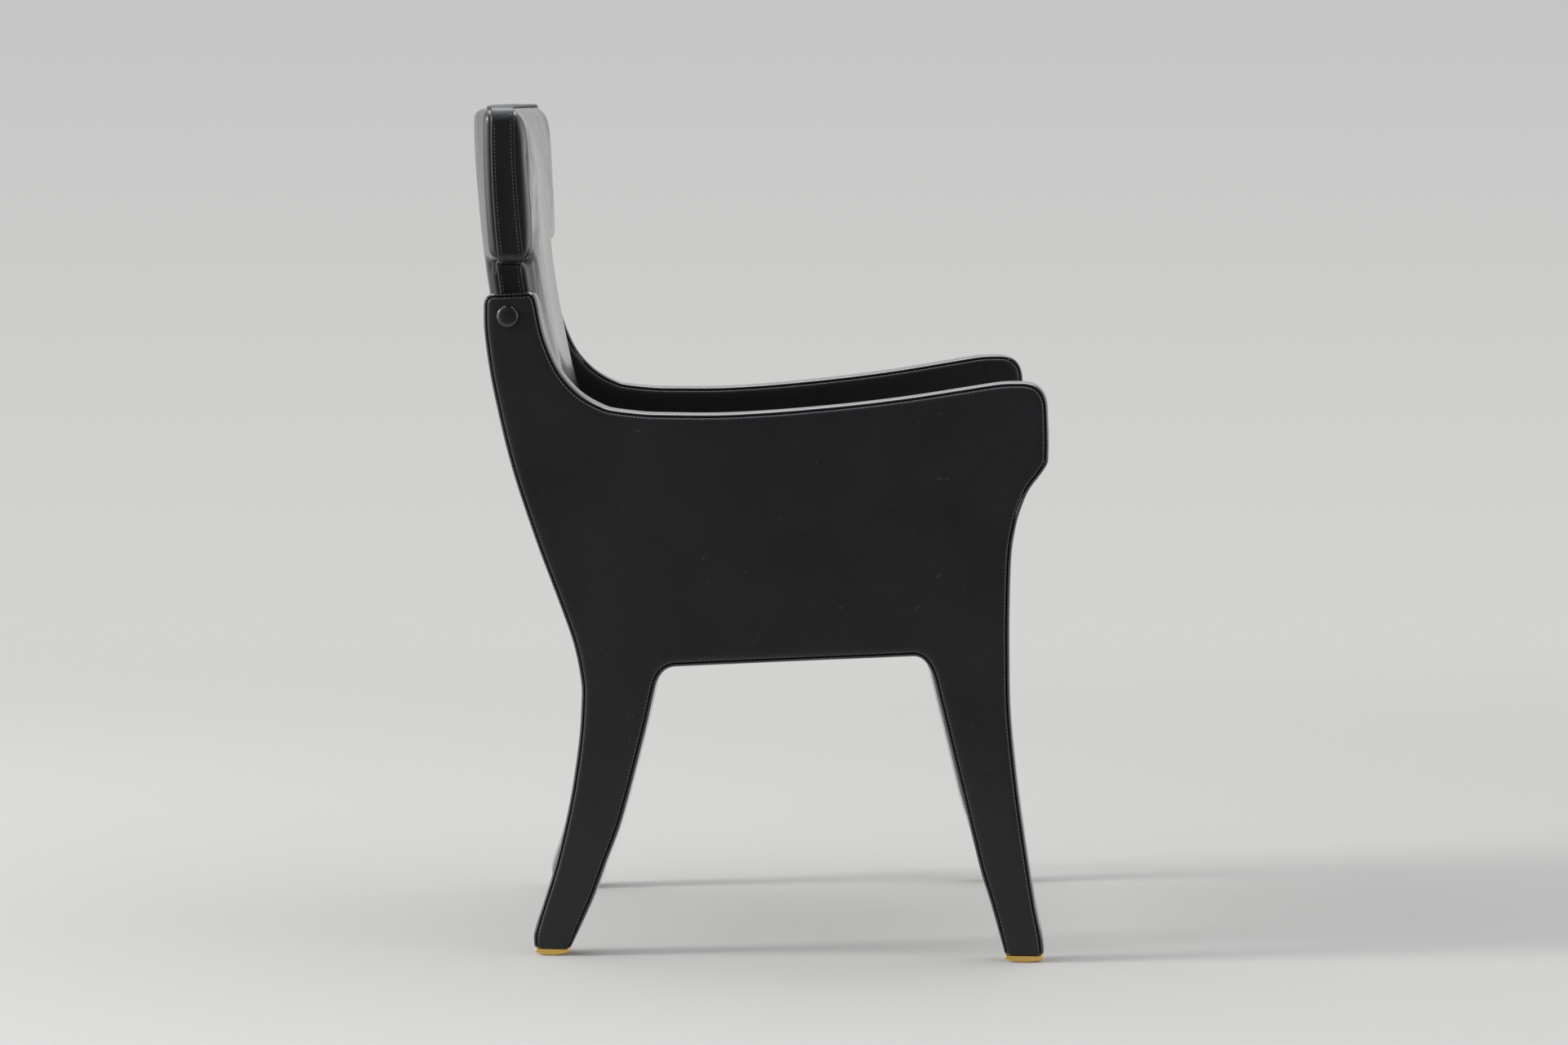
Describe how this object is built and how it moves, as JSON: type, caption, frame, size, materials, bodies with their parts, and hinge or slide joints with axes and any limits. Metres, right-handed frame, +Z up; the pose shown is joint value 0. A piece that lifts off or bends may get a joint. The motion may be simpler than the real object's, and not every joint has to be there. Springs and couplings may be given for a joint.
{
  "type": "klismos chair",
  "caption": "Leather-clad klismos armchair: flat side panels form arm, post and sabre legs, with a broad curved T-shaped back, a padded seat between them and brass feet.",
  "frame": {"origin": "on the floor, under the middle of the chair's width and depth", "axes": "+Z up, the chair faces -Y, +X towards the sitter's left"},
  "size_m": [0.64, 0.6649, 0.984],
  "materials": {
    "leather": "satin black leather",
    "gloss_leather": "semi-gloss black leather",
    "button": "smooth black",
    "plywood": "raw",
    "beech": "raw",
    "foam": "matte foam",
    "felt": "matte felt",
    "lining": "matte woven",
    "brass": "brushed",
    "steel": "zinc plated",
    "nylon": "matte"
  },
  "bodies": {
    "root": {"back_bolt_cap_left": "button", "back_bolt_cap_right": "button", "back_bolt_left": "steel", "back_bolt_right": "steel", "back_border": "leather", "back_core": "plywood", "back_dowel_left": "beech", "back_dowel_right": "beech", "back_felt": "felt", "back_foam": "foam", "back_front_cover": "gloss_leather", "back_insert_left": "brass", "back_insert_right": "brass", "back_rear_cover": "gloss_leather", "back_spacer_left": "nylon", "back_spacer_right": "nylon", "back_zip_pull": "steel", "foot_glide_front_left": "nylon", "foot_glide_front_right": "nylon", "foot_glide_rear_left": "nylon", "foot_glide_rear_right": "nylon", "foot_plate_front_left": "brass", "foot_plate_front_right": "brass", "foot_plate_rear_left": "brass", "foot_plate_rear_right": "brass", "foot_screw_front_left": "steel", "foot_screw_front_right": "steel", "foot_screw_rear_left": "steel", "foot_screw_rear_right": "steel", "seat_bolt_front_left": "steel", "seat_bolt_front_right": "steel", "seat_bolt_rear_left": "steel", "seat_bolt_rear_right": "steel", "seat_border": "leather", "seat_corner_block_front_left": "beech", "seat_corner_block_front_right": "beech", "seat_corner_block_rear_left": "beech", "seat_corner_block_rear_right": "beech", "seat_deck": "plywood", "seat_foam": "foam", "seat_front_rail": "beech", "seat_front_strip": "leather", "seat_insert_front_left": "brass", "seat_insert_front_right": "brass", "seat_insert_rear_left": "brass", "seat_insert_rear_right": "brass", "seat_lining": "lining", "seat_rear_rail": "beech", "seat_side_rail_left": "beech", "seat_side_rail_right": "beech", "seat_top_cover": "leather", "side_boxing_left": "leather", "side_boxing_right": "leather", "side_core_left": "plywood", "side_core_right": "plywood", "side_inner_cover_left": "leather", "side_inner_cover_right": "leather", "side_outer_cover_left": "leather", "side_outer_cover_right": "leather"}
  },
  "joints": []
}
